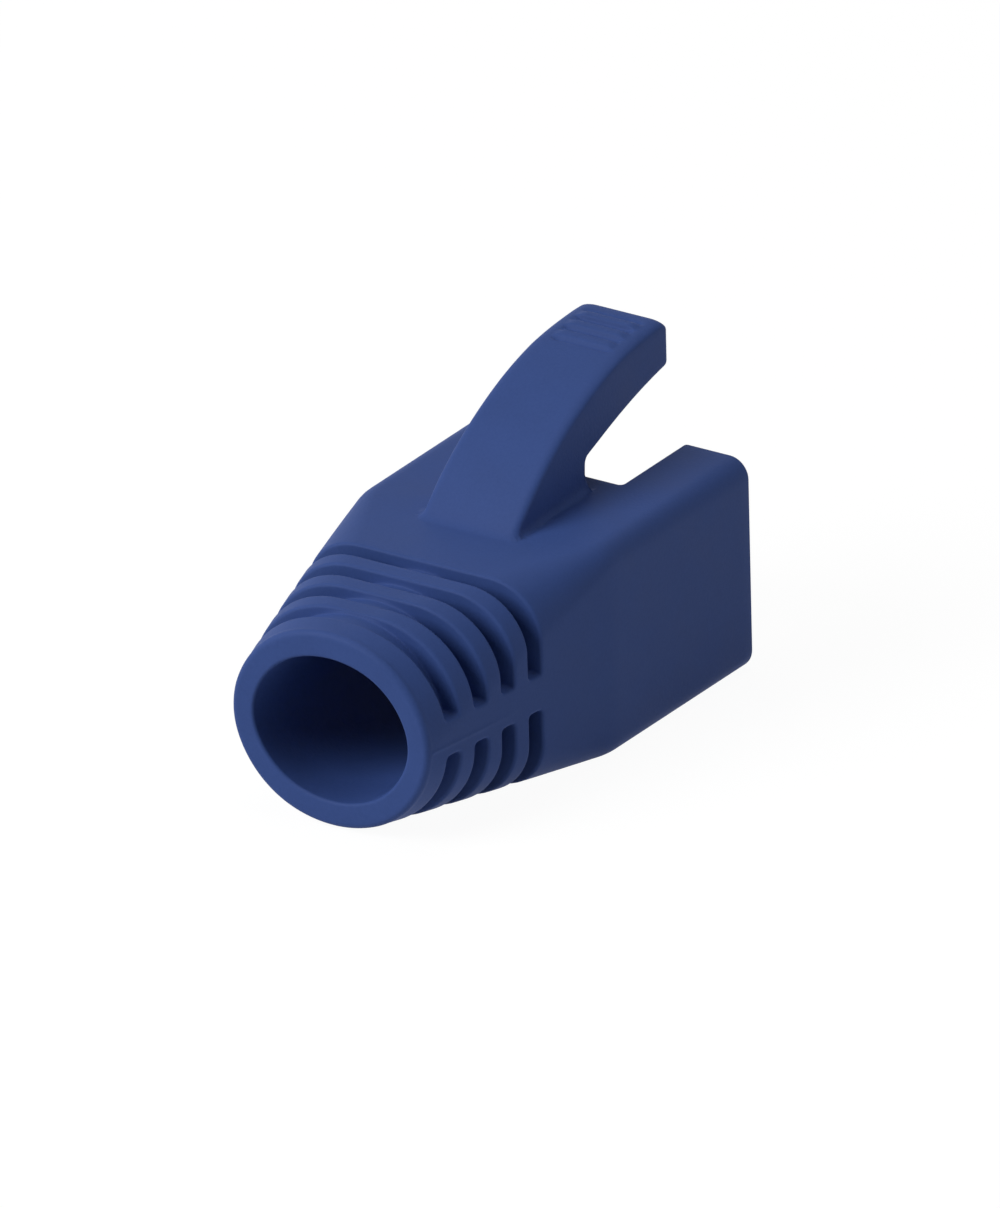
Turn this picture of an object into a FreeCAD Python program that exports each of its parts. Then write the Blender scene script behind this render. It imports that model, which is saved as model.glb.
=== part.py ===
import FreeCAD, Part
import math
import os
import Sketcher
from FreeCAD import Vector

# A snagless strain relief boot for a modular network plug, moulded in one shot from a soft plastic.
# The cable enters the oval mouth, the ribbed neck bends with it, and the square sleeve grips the
# rear of the plug. A curved lever stands over the notch in the roof, where it shields the plug's
# latch and passes on the push of a thumb.
#
# The body is drawn with X across, Y from the mouth (0) to the plug end, and Z up from the middle
# of the sleeve. Its placement then puts the origin under the middle of the boot, on the table.

SIZES = (
    # sleeve over the plug
    ("sleeve_width", 13.6, "outside, across"),
    ("sleeve_height", 10.4, "outside, floor to roof"),
    ("sleeve_length", 11.35, "shoulder to plug end"),
    ("sleeve_corner", 1.0, "radius of the long corners"),
    ("plug_width", 11.68, "modular plug body, across"),
    ("plug_height", 8.2, "modular plug body, at its rear"),
    ("plug_clearance", 0.1, "all round the plug"),
    ("plug_depth", 11.0, "how far the plug goes in"),
    ("socket_corner", 0.5, "radius of the socket's long corners"),
    ("rim_chamfer", 0.12, "bevel of the plug end's outer edge"),
    # neck and mouth
    ("neck_length", 13.0, "mouth to shoulder"),
    ("mouth_width", 10.6, "outside, across"),
    ("mouth_height", 9.54, "outside, up and down"),
    ("mouth_drop", 0.26, "mouth centre below the sleeve's middle"),
    ("mouth_lip", 0.35, "straight lip in front of the taper"),
    ("neck_bulge", 0.09, "swelling of the taper's top and sides half-way along it"),
    ("mouth_round", 0.3, "rounding of the lip's outer edge"),
    ("oval_crown_angle", 20.0, "half angle of an oval's flatter and tighter arcs, in degrees"),
    ("oval_flat", 0.01, "half length of the straight bits at an oval's quarter points"),
    ("bore_width", 8.24, "cable passage, across"),
    ("bore_height", 7.0, "cable passage, up and down"),
    ("bore_chamfer", 0.12, "bevel of the passage's edge at the mouth"),
    # flexing grooves
    ("groove_count", 4, "along the neck"),
    ("first_groove", 1.85, "mouth to the middle of the first groove"),
    ("groove_pitch", 1.87, "groove to groove"),
    ("groove_width", 0.9, "along the neck"),
    ("groove_floor_radius", 4.75, "round core under the ribs"),
    ("spine_height", 1.75, "solid web left between the grooves on each side"),
    # lever
    ("lever_rise", 5.68, "crest above the roof"),
    ("lever_reach", 0.65, "tip past the plug end"),
    ("lever_root_width", 5.05, "across, at the shoulder"),
    ("lever_tip_width", 4.4, "across, at the tip"),
    ("lever_tip_thickness", 2.3, "crest to underside at the tip"),
    ("lever_crest_radius", 17.25, "bend of the upper face"),
    ("lever_underside_radius", 35.0, "bend of the lower face"),
    ("lever_tip_corner", 0.7, "radius of the tip's upper corner"),
    ("lever_heel_height", 1.1, "straight back of the root above the roof"),
    ("lever_heel_fillet", 0.5, "inner corner under the lever"),
    ("lever_heel_setback", 1.5, "back of the root to the notch"),
    ("lever_edge_round", 0.35, "rounding of the lever's edges"),
    ("lever_foot_fillet", 0.3, "hollow round the lever's foot"),
    ("grip_count", 3, "thumb bars on the tip"),
    ("grip_bar_radius", 0.4, "section of a thumb bar"),
    ("grip_bar_height", 0.13, "bar above the lever's face"),
    ("grip_pitch", 0.97, "bar to bar"),
    ("grip_start", 1.6, "tip to the first bar"),
    ("grip_inset", 0.65, "bar's end to the lever's side"),
    # latch notch in the roof
    ("notch_width", 6.74, "across"),
    ("notch_length", 5.25, "from the plug end"),
)
mm = {alias: value for alias, value, note in SIZES}

doc = FreeCAD.newDocument("strain_relief_boot")
sheet = doc.addObject("Spreadsheet::Sheet", "Sizes")
for row, (alias, value, note) in enumerate(SIZES, start=1):
    sheet.set("A%d" % row, alias)
    sheet.set("B%d" % row, str(value))
    sheet.set("C%d" % row, note)
    sheet.setAlias("B%d" % row, alias)
doc.recompute()

# Places that several features share, each as a number for the first drawing of a shape and as
# the rule that keeps it tied to the sheet.
ROOF = "Sizes.sleeve_height / 2"
REAR = "(Sizes.neck_length + Sizes.sleeve_length)"
TIP = "(Sizes.neck_length + Sizes.sleeve_length + Sizes.lever_reach)"
SOCKET_WIDTH = "(Sizes.plug_width + 2 * Sizes.plug_clearance)"
SOCKET_HEIGHT = "(Sizes.plug_height + 2 * Sizes.plug_clearance)"
roof = mm["sleeve_height"] / 2
rear = mm["neck_length"] + mm["sleeve_length"]
tip = rear + mm["lever_reach"]
socket_width = mm["plug_width"] + 2 * mm["plug_clearance"]
socket_height = mm["plug_height"] + 2 * mm["plug_clearance"]
OUTSIDE = 1.0    # how far a cut runs past the surface that it opens
CLOSE = 1e-3    # how near two points are taken to be one
START, END, CENTRE = range(1, 4)    # the points of a sketched line or arc
ORIGIN = (-1, 1)    # a sketch's own origin, as a point reference

body = doc.addObject("PartDesign::Body", "Boot")
body.Label = "strain_relief_boot"


def origin_feature(role):
    """One of the body's own origin planes or axes."""
    return [each for each in body.Origin.OriginFeatures if each.Role == role][0]


def new_sketch(name, role, offset_rule=None):
    """A sketch on an origin plane, moved along the plane's normal by a rule."""
    sketch = body.newObject("Sketcher::SketchObject", name)
    sketch.AttachmentSupport = [(origin_feature(role), "")]
    sketch.MapMode = "FlatFace"
    if offset_rule:
        sketch.setExpression(".AttachmentOffset.Base.z", offset_rule)
    return sketch


def add_line(sketch, start, end):
    return sketch.addGeometry(Part.LineSegment(Vector(*start, 0), Vector(*end, 0)), False)


def add_arc(sketch, centre, radius, start_degrees, end_degrees):
    """An arc that runs anticlockwise between two angles."""
    circle = Part.Circle(Vector(*centre, 0), Vector(0, 0, 1), radius)
    arc = Part.ArcOfCircle(circle, math.radians(start_degrees), math.radians(end_degrees))
    return sketch.addGeometry(arc, False)


def dimension(sketch, kind, rule, *points):
    """A dimension that holds what is drawn, tied to a rule on the sheet's sizes."""
    if kind == "Radius":
        drawn = sketch.Geometry[points[0]].Radius
    else:
        first, second = sketch.getPoint(*points[:2]), sketch.getPoint(*points[2:])
        drawn = second.x - first.x if kind == "DistanceX" else second.y - first.y
    index = sketch.addConstraint(Sketcher.Constraint(kind, *points, drawn))
    sketch.setExpression("Constraints[%d]" % index, rule)


def join(sketch, kind, *points):
    sketch.addConstraint(Sketcher.Constraint(kind, *points))


def tangent_ring(sketch, pieces):
    """Close pieces that follow each other anticlockwise into one smooth loop."""
    for piece, following in zip(pieces, pieces[1:] + pieces[:1]):
        join(sketch, "Tangent", piece, END, following, START)


def draw_section(sketch, width, height, flat_width, flat_height, drop=0.0, drop_rule="0"):
    """A section across the boot: four flats joined by corners of three tangent arcs each.

    Every size comes as its number and its rule. The flats are given by their half lengths, and
    what is left of the width and height belongs to the corners. The middle arc of a corner takes
    the mean of those two as its radius, and the outer arcs differ from it by the same amount, so
    a corner is a quarter of an oval, or of a circle where the two are equal. All sections change
    from arc to arc at the same slopes, which makes a skin drawn over two of them smooth.
    """
    split = mm["oval_crown_angle"]
    sine, cosine = math.sin(math.radians(split)), math.cos(math.radians(split))
    half_width, half_height = width[0] / 2, height[0] / 2
    flat_x, flat_z = flat_width[0], flat_height[0]
    wide, high = half_width - flat_x, half_height - flat_z
    mean = (wide + high) / 2
    change = (wide - high) / 2 / (sine + cosine - 1)
    flatter, tighter = mean + change, mean - change
    flats, ring = [], []
    arcs = {"flatter": [], "mean": [], "tighter": []}
    for quarter, (x, z) in enumerate(((1, -1), (1, 1), (-1, 1), (-1, -1))):
        if x * z < 0:
            flat = ((-x * flat_x, z * half_height), (x * flat_x, z * half_height))
            order = ("flatter", "mean", "tighter")
        else:
            flat = ((x * half_width, -z * flat_z), (x * half_width, z * flat_z))
            order = ("tighter", "mean", "flatter")
        flats.append(add_line(sketch, *((across, level - drop) for across, level in flat)))
        ring.append(flats[-1])
        middles = {
            "flatter": (flat_x, half_height - flatter),
            "mean": (flat_x + (flatter - mean) * sine, flat_z + (tighter - mean) * sine),
            "tighter": (half_width - tighter, flat_z),
        }
        radii = {"flatter": flatter, "mean": mean, "tighter": tighter}
        turn = 270 + 90 * quarter
        for name, start, end in zip(order, (0, split, 90 - split), (split, 90 - split, 90)):
            middle = (x * middles[name][0], z * middles[name][1] - drop)
            arcs[name].append(add_arc(sketch, middle, radii[name], turn + start, turn + end))
            ring.append(arcs[name][-1])
    tangent_ring(sketch, ring)

    angle = "(Sizes.oval_crown_angle * 1 deg)"
    wide_rule = "(%s / 2 - %s)" % (width[1], flat_width[1])
    high_rule = "(%s / 2 - %s)" % (height[1], flat_height[1])
    mean_rule = "((%s + %s) / 2)" % (wide_rule, high_rule)
    change_rule = "((%s - %s) / 2 / (sin(%s) + cos(%s) - 1))" % (
        wide_rule, high_rule, angle, angle)
    radius_rules = {
        "flatter": "(%s + %s)" % (mean_rule, change_rule),
        "mean": mean_rule,
        "tighter": "(%s - %s)" % (mean_rule, change_rule),
    }
    for name, alike in arcs.items():
        for other in alike[1:]:
            join(sketch, "Equal", alike[0], other)
        dimension(sketch, "Radius", radius_rules[name], alike[0])
    for flat, way in zip(flats, ("Horizontal", "Vertical", "Horizontal", "Vertical")):
        join(sketch, way, flat)
    # The two points of a dimension are always named from left to right or from the floor up.
    floor, right, crown, left = flats
    dimension(sketch, "DistanceX", width[1] + " / 2", *ORIGIN, right, START)
    dimension(sketch, "DistanceX", width[1] + " / 2", left, START, *ORIGIN)
    dimension(sketch, "DistanceY", "%s / 2 - %s" % (height[1], drop_rule), *ORIGIN, crown, START)
    dimension(sketch, "DistanceY", "%s / 2 + %s" % (height[1], drop_rule), floor, START, *ORIGIN)
    across_rule = "%s + %s * sin(%s)" % (flat_width[1], radius_rules["flatter"], angle)
    up_rule = "%s + %s * sin(%s)" % (flat_height[1], radius_rules["tighter"], angle)
    for quarter, arc in enumerate(arcs["mean"]):
        to_flatter, to_tighter = (END, START) if quarter % 2 else (START, END)
        if quarter < 2:
            dimension(sketch, "DistanceX", across_rule, *ORIGIN, arc, to_flatter)
        else:
            dimension(sketch, "DistanceX", across_rule, arc, to_flatter, *ORIGIN)
        if quarter in (1, 2):
            rule = "%s - %s" % (up_rule, drop_rule)
            dimension(sketch, "DistanceY", rule, *ORIGIN, arc, to_tighter)
        else:
            rule = "%s + %s" % (up_rule, drop_rule)
            dimension(sketch, "DistanceY", rule, arc, to_tighter, *ORIGIN)


def size(alias):
    """A size as its number and its rule."""
    return mm[alias], "Sizes." + alias


def less(whole, corner):
    """Half of a whole size less the corner at its end, as a number and a rule."""
    return whole[0] / 2 - corner[0], "(%s / 2 - %s)" % (whole[1], corner[1])


def edges_where(shape, test):
    """Names of the edges whose both ends and middle pass a test on a point."""
    names = []
    for number, edge in enumerate(shape.Edges, start=1):
        ends = [edge.valueAt(edge.FirstParameter), edge.valueAt(edge.LastParameter)]
        middle = edge.valueAt((edge.FirstParameter + edge.LastParameter) / 2)
        if all(test(point) for point in ends + [middle]):
            names.append("Edge%d" % number)
    return names


def near(first, second):
    return abs(first - second) < CLOSE


def finish_edges(kind, size_name, name, base, test, rule):
    """Break the edges of the last feature that pass a test, with a fillet or a chamfer."""
    doc.recompute()
    finish = body.newObject("PartDesign::" + kind, name)
    finish.Base = (base, edges_where(base.Shape, test))
    finish.setExpression(size_name, rule)
    doc.recompute()
    return finish


def round_edges(name, base, test, rule):
    return finish_edges("Fillet", "Radius", name, base, test, rule)


def chamfer_edges(name, base, test, rule):
    return finish_edges("Chamfer", "Size", name, base, test, rule)


def half_way(first, second, more=0, more_rule="0"):
    """The mean of two sizes and a bit more, as a number and a rule."""
    rule = "((%s + %s) / 2 + %s)" % (first[1], second[1], more_rule)
    return (first[0] + second[0]) / 2 + more, rule


# The outer skin: an oval mouth with a short lip, which swells into the square sleeve.
mouth = new_sketch("mouth_section", "XZ_Plane", "-Sizes.mouth_lip")
draw_section(
    mouth, size("mouth_width"), size("mouth_height"), size("oval_flat"), size("oval_flat"),
    *size("mouth_drop"))
shoulder = new_sketch("shoulder_section", "XZ_Plane", "-Sizes.neck_length")
draw_section(
    shoulder, size("sleeve_width"), size("sleeve_height"),
    less(size("sleeve_width"), size("sleeve_corner")),
    less(size("sleeve_height"), size("sleeve_corner")))
middle = new_sketch("middle_section", "XZ_Plane", "-(Sizes.mouth_lip + Sizes.neck_length) / 2")
bulge = mm["neck_bulge"]
draw_section(
    middle,
    half_way(size("mouth_width"), size("sleeve_width"), 2 * bulge, "2 * Sizes.neck_bulge"),
    half_way(size("mouth_height"), size("sleeve_height"), bulge, "Sizes.neck_bulge"),
    half_way(size("oval_flat"), less(size("sleeve_width"), size("sleeve_corner"))),
    half_way(size("oval_flat"), less(size("sleeve_height"), size("sleeve_corner"))),
    *half_way(size("mouth_drop"), (-bulge, "-Sizes.neck_bulge")))
neck = body.newObject("PartDesign::AdditiveLoft", "neck")
neck.Profile = mouth
neck.Sections = [middle, shoulder]
lip = body.newObject("PartDesign::Pad", "lip")
lip.Profile = mouth
lip.setExpression("Length", "Sizes.mouth_lip")
mouth_edge = round_edges("mouth_edge", lip, lambda point: near(point.y, 0), "Sizes.mouth_round")

sleeve = body.newObject("PartDesign::Pad", "sleeve")
sleeve.Profile = shoulder
sleeve.Reversed = True
sleeve.setExpression("Length", "Sizes.sleeve_length")
rim = chamfer_edges(
    "plug_end_rim", sleeve, lambda point: near(point.y, rear), "Sizes.rim_chamfer")

# The lever: a side profile as wide as its root, then trimmed to its taper seen from above.
# The upper face is one arc that levels off at the tip, and the underside is a flatter one.
lever_profile = new_sketch("lever_profile", "YZ_Plane")
crest = (tip - mm["lever_tip_corner"], roof + mm["lever_rise"])
crest_centre = (crest[0], crest[1] - mm["lever_crest_radius"])
sunk = (roof + socket_height / 2) / 2
SUNK = "(Sizes.sleeve_height + %s) / 4" % SOCKET_HEIGHT
HEEL = "(%s - Sizes.notch_length - Sizes.lever_heel_setback)" % REAR
heel = rear - mm["notch_length"] - mm["lever_heel_setback"]
root_angle = 180 - math.degrees(math.asin((sunk - crest_centre[1]) / mm["lever_crest_radius"]))
root_start = crest_centre[0] + mm["lever_crest_radius"] * math.cos(math.radians(root_angle))
foot = Vector(tip, crest[1] - mm["lever_tip_thickness"], 0)
heel_fillet = mm["lever_heel_fillet"]
heel_centre = Vector(heel + heel_fillet, roof + mm["lever_heel_height"], 0)
# The underside's centre lies its radius from the tip's foot, and that less the fillet from the
# fillet's centre: where those two circles cross below the lever.
span = heel_centre - foot
under_radius = mm["lever_underside_radius"]
along = (under_radius ** 2 - (under_radius - heel_fillet) ** 2 + span.Length ** 2) / (2 * span.Length)
aside = math.sqrt(under_radius ** 2 - along ** 2)
direction = Vector(span).normalize()
under_centre = foot + direction * along + Vector(-direction.y, direction.x, 0) * aside
heel_angle = math.degrees(math.atan2(*reversed((heel_centre - under_centre)[:2])))
foot_angle = math.degrees(math.atan2(*reversed((foot - under_centre)[:2])))

upper_face = add_arc(lever_profile, crest_centre, mm["lever_crest_radius"], 90, root_angle)
tip_corner = add_arc(
    lever_profile, (crest[0], crest[1] - mm["lever_tip_corner"]), mm["lever_tip_corner"], 0, 90)
tip_face = add_line(lever_profile, (tip, foot.y), (tip, crest[1] - mm["lever_tip_corner"]))
underside = add_arc(lever_profile, under_centre[:2], under_radius, foot_angle, heel_angle)
heel_corner = add_arc(lever_profile, heel_centre[:2], heel_fillet, heel_angle, 180)
heel_face = add_line(lever_profile, (heel, sunk), (heel, heel_centre.y))
base_line = add_line(lever_profile, (root_start, sunk), (heel, sunk))
join(lever_profile, "Tangent", tip_corner, END, upper_face, START)
join(lever_profile, "Tangent", tip_face, END, tip_corner, START)
join(lever_profile, "Coincident", tip_face, START, underside, START)
join(lever_profile, "Tangent", underside, END, heel_corner, START)
join(lever_profile, "Tangent", heel_corner, END, heel_face, END)
join(lever_profile, "Coincident", heel_face, START, base_line, END)
join(lever_profile, "Coincident", base_line, START, upper_face, END)
join(lever_profile, "Vertical", tip_face)
join(lever_profile, "Vertical", heel_face)
join(lever_profile, "Horizontal", base_line)
join(lever_profile, "Vertical", upper_face, CENTRE, upper_face, START)
dimension(lever_profile, "Radius", "Sizes.lever_crest_radius", upper_face)
dimension(lever_profile, "Radius", "Sizes.lever_tip_corner", tip_corner)
dimension(lever_profile, "Radius", "Sizes.lever_underside_radius", underside)
dimension(lever_profile, "Radius", "Sizes.lever_heel_fillet", heel_corner)
dimension(lever_profile, "DistanceX", TIP, *ORIGIN, tip_face, START)
dimension(lever_profile, "DistanceY", ROOF + " + Sizes.lever_rise", *ORIGIN, upper_face, START)
dimension(
    lever_profile, "DistanceY", "Sizes.lever_tip_thickness", tip_face, START, upper_face, START)
dimension(lever_profile, "DistanceX", HEEL, *ORIGIN, heel_face, START)
dimension(lever_profile, "DistanceY", SUNK, *ORIGIN, base_line, START)
dimension(
    lever_profile, "DistanceY", ROOF + " + Sizes.lever_heel_height", *ORIGIN, heel_face, END)
lever = body.newObject("PartDesign::Pad", "lever")
lever.Profile = lever_profile
lever.SideType = "Symmetric"
lever.setExpression("Length", "Sizes.lever_root_width")

lever_sides = new_sketch("lever_sides", "XY_Plane", ROOF)
for side in (1, -1):
    root_half = side * mm["lever_root_width"] / 2
    tip_half = side * mm["lever_tip_width"] / 2
    outer = root_half + side * OUTSIDE
    corners = [
        (root_half, mm["neck_length"]), (outer, mm["neck_length"]), (outer, tip + OUTSIDE),
        (tip_half, tip + OUTSIDE), (tip_half, tip),
    ]
    lines = []
    for start, end in zip(corners, corners[1:] + corners[:1]):
        lines.append(add_line(lever_sides, start, end))
    for line, following in zip(lines, lines[1:] + lines[:1]):
        join(lever_sides, "Coincident", line, END, following, START)
    front, outside, back, step, trim = lines
    join(lever_sides, "Horizontal", front)
    join(lever_sides, "Vertical", outside)
    join(lever_sides, "Horizontal", back)
    join(lever_sides, "Vertical", step)
    # A distance across is measured from left to right, so the two sides name their ends in
    # opposite order.
    for rule, line in (("Sizes.lever_root_width / 2", front), ("Sizes.lever_tip_width / 2", trim)):
        ends = (*ORIGIN, line, START) if side > 0 else (line, START, *ORIGIN)
        dimension(lever_sides, "DistanceX", rule, *ends)
    ends = (front, START, front, END) if side > 0 else (front, END, front, START)
    dimension(lever_sides, "DistanceX", "%s" % OUTSIDE, *ends)
    dimension(lever_sides, "DistanceY", "Sizes.neck_length", *ORIGIN, front, START)
    dimension(lever_sides, "DistanceY", TIP, *ORIGIN, trim, START)
    dimension(lever_sides, "DistanceY", "%s" % OUTSIDE, step, END, step, START)
lever_taper = body.newObject("PartDesign::Pocket", "lever_taper")
lever_taper.Profile = lever_sides
lever_taper.Reversed = True
lever_taper.setExpression("Length", "Sizes.lever_rise + %s" % OUTSIDE)


def on_lever(point):
    """True above the roof, where the lever stands free."""
    return point.z > roof + CLOSE


def at_foot(point):
    """True round the lever's foot, on the roof or on the neck just in front of it."""
    neck_fall = mm["mouth_drop"] + (mm["sleeve_height"] - mm["mouth_height"]) / 2
    lowest = roof - neck_fall * (mm["neck_length"] - root_start) / mm["neck_length"]
    across = abs(point.x) < mm["lever_root_width"] / 2 + CLOSE
    along = root_start - OUTSIDE < point.y < heel + CLOSE
    return across and along and lowest - CLOSE < point.z < roof + CLOSE


lever_edges = round_edges("lever_edges", lever_taper, on_lever, "Sizes.lever_edge_round")
lever_foot = round_edges("lever_foot", lever_edges, at_foot, "Sizes.lever_foot_fillet")

# Thumb bars: round bars sunk in the lever's face, repeated about the centre of its bend.
grip_profile = new_sketch("grip_profile", "YZ_Plane")
grip_profile.setExpression(".AttachmentOffset.Base.x", TIP + " - Sizes.lever_tip_corner")
grip_profile.setExpression(
    ".AttachmentOffset.Base.y", ROOF + " + Sizes.lever_rise - Sizes.lever_crest_radius")
bar_distance = mm["lever_crest_radius"] + mm["grip_bar_height"] - mm["grip_bar_radius"]
bar_back = mm["grip_start"] - mm["lever_tip_corner"]
bar = grip_profile.addGeometry(Part.Circle(
    Vector(-bar_back, math.sqrt(bar_distance ** 2 - bar_back ** 2), 0), Vector(0, 0, 1),
    mm["grip_bar_radius"]), False)
dimension(grip_profile, "Radius", "Sizes.grip_bar_radius", bar)
dimension(
    grip_profile, "DistanceX", "Sizes.grip_start - Sizes.lever_tip_corner", bar, CENTRE, *ORIGIN)
dimension(
    grip_profile, "DistanceY",
    "sqrt((Sizes.lever_crest_radius + Sizes.grip_bar_height - Sizes.grip_bar_radius) ^ 2"
    " - (Sizes.grip_start - Sizes.lever_tip_corner) ^ 2)", *ORIGIN, bar, CENTRE)
grip_bar = body.newObject("PartDesign::Pad", "grip_bar")
grip_bar.Profile = grip_profile
grip_bar.SideType = "Symmetric"
grip_bar.setExpression("Length", "Sizes.lever_tip_width - 2 * Sizes.grip_inset")
grip_bars = body.newObject("PartDesign::PolarPattern", "grip_bars")
grip_bars.Originals = [grip_bar]
grip_bars.Axis = (grip_profile, ["N_Axis"])
grip_bars.Mode = "Spacing"
grip_bars.setExpression("Offset", "Sizes.grip_pitch / Sizes.lever_crest_radius * 180 / pi")
grip_bars.setExpression("Occurrences", "Sizes.grip_count")
body.Tip = grip_bars
doc.recompute()

# Inside: the cable passage from the mouth, and the socket that takes the plug from behind.
bore_section = new_sketch("bore_section", "XZ_Plane")
draw_section(
    bore_section, size("bore_width"), size("bore_height"), size("oval_flat"), size("oval_flat"),
    *size("mouth_drop"))
bore = body.newObject("PartDesign::Pocket", "bore")
bore.Profile = bore_section
bore.setExpression("Length", "%s - Sizes.plug_depth + %s" % (REAR, OUTSIDE))
bore_edge = chamfer_edges(
    "bore_edge", bore,
    lambda point: near(point.y, 0) and abs(point.x) < mm["bore_width"] / 2 + CLOSE
    and abs(point.z + mm["mouth_drop"]) < mm["bore_height"] / 2 + CLOSE,
    "Sizes.bore_chamfer")

socket_section = new_sketch("socket_section", "XZ_Plane", "-" + REAR)
draw_section(
    socket_section, (socket_width, SOCKET_WIDTH), (socket_height, SOCKET_HEIGHT),
    less((socket_width, SOCKET_WIDTH), size("socket_corner")),
    less((socket_height, SOCKET_HEIGHT), size("socket_corner")))
socket = body.newObject("PartDesign::Pocket", "plug_socket")
socket.Profile = socket_section
socket.Reversed = True
socket.setExpression("Length", "Sizes.plug_depth")
doc.recompute()

# The notch lets the plug's latch stand up through the roof under the lever.
notch_outline = new_sketch("notch_outline", "XY_Plane", ROOF)
half_notch = mm["notch_width"] / 2
notch_front = rear - mm["notch_length"]
notch_corners = [
    (-half_notch, notch_front), (half_notch, notch_front),
    (half_notch, rear + OUTSIDE), (-half_notch, rear + OUTSIDE),
]
notch_lines = []
for start, end in zip(notch_corners, notch_corners[1:] + notch_corners[:1]):
    notch_lines.append(add_line(notch_outline, start, end))
for line, following in zip(notch_lines, notch_lines[1:] + notch_lines[:1]):
    join(notch_outline, "Coincident", line, END, following, START)
for line, way in zip(notch_lines, ("Horizontal", "Vertical", "Horizontal", "Vertical")):
    join(notch_outline, way, line)
dimension(notch_outline, "DistanceX", "Sizes.notch_width / 2", *ORIGIN, notch_lines[1], START)
dimension(notch_outline, "DistanceX", "Sizes.notch_width / 2", notch_lines[3], START, *ORIGIN)
dimension(
    notch_outline, "DistanceY", REAR + " - Sizes.notch_length", *ORIGIN, notch_lines[0], START)
dimension(notch_outline, "DistanceY", REAR + " + %s" % OUTSIDE, *ORIGIN, notch_lines[2], START)
notch = body.newObject("PartDesign::Pocket", "latch_notch")
notch.Profile = notch_outline
notch.setExpression("Length", ROOF)
doc.recompute()

# The grooves: slots cut from above and from below down to a round core, which stop at a spine on
# each side, so that the neck bends and the mould still opens.
groove_section = new_sketch("groove_section", "XZ_Plane", "-Sizes.first_groove")
spine = mm["spine_height"] / 2
wide = mm["sleeve_width"] / 2 + OUTSIDE
tall = mm["sleeve_height"] / 2 + OUTSIDE
for side in (1, -1):
    level = side * spine
    lean = math.degrees(math.asin((level + mm["mouth_drop"]) / mm["groove_floor_radius"]))
    reach = mm["groove_floor_radius"] * math.cos(math.radians(lean))
    angles = (lean, 180 - lean) if side > 0 else (180 - lean, 360 + lean)
    floor = add_arc(groove_section, (0, -mm["mouth_drop"]), mm["groove_floor_radius"], *angles)
    first, last = (START, END) if side > 0 else (END, START)
    outline = [
        (reach, level), (wide, level), (wide, side * tall), (-wide, side * tall),
        (-wide, level), (-reach, level),
    ]
    lines = []
    for start, end in zip(outline, outline[1:]):
        lines.append(add_line(groove_section, start, end))
    for line, following in zip(lines, lines[1:]):
        join(groove_section, "Coincident", line, END, following, START)
    join(groove_section, "Coincident", lines[0], START, floor, first)
    join(groove_section, "Coincident", lines[-1], END, floor, last)
    for line, way in zip(lines, ("Horizontal", "Vertical", "Horizontal", "Vertical", "Horizontal")):
        join(groove_section, way, line)
    join(groove_section, "PointOnObject", floor, CENTRE, -2)
    dimension(groove_section, "DistanceY", "Sizes.mouth_drop", floor, CENTRE, *ORIGIN)
    dimension(groove_section, "Radius", "Sizes.groove_floor_radius", floor)
    wide_rule = "Sizes.sleeve_width / 2 + %s" % OUTSIDE
    dimension(groove_section, "DistanceX", wide_rule, *ORIGIN, lines[1], START)
    dimension(groove_section, "DistanceX", wide_rule, lines[3], START, *ORIGIN)
    tall_rule = "Sizes.sleeve_height / 2 + %s" % OUTSIDE
    for rule, line in (("Sizes.spine_height / 2", lines[0]), (tall_rule, lines[2])):
        ends = (*ORIGIN, line, START) if side > 0 else (line, START, *ORIGIN)
        dimension(groove_section, "DistanceY", rule, *ends)
groove = body.newObject("PartDesign::Pocket", "groove")
groove.Profile = groove_section
groove.SideType = "Symmetric"
groove.setExpression("Length", "Sizes.groove_width")

grooves = body.newObject("PartDesign::LinearPattern", "grooves")
grooves.Originals = [groove]
grooves.Direction = (origin_feature("Y_Axis"), [""])
grooves.Mode = "Spacing"
grooves.setExpression("Offset", "Sizes.groove_pitch")
grooves.setExpression("Occurrences", "Sizes.groove_count")
body.Tip = grooves

body.setExpression(".Placement.Base.y", "-%s / 2" % TIP)
body.setExpression(".Placement.Base.z", ROOF)
doc.recompute()

failed = []
for each in doc.Objects:
    if "Invalid" in each.State or "Error" in each.State:
        failed.append(each.Name)
    if each.isDerivedFrom("PartDesign::Feature"):
        print("%-16s %9.2f mm3 %s" % (each.Name, each.Shape.Volume, each.State))
if failed:
    raise RuntimeError("these objects failed: " + ", ".join(failed))
if body.Shape.isNull() or not body.Shape.isValid() or len(body.Shape.Solids) != 1:
    raise RuntimeError("the boot is not one valid solid")
print("box", body.Shape.BoundBox, "volume", round(body.Shape.Volume, 1))

os.makedirs("parts", exist_ok=True)
body.Shape.exportStep("parts/%s.step" % body.Label)
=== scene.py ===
import math

import bpy
import numpy as np
from mathutils import Matrix, Vector


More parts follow.
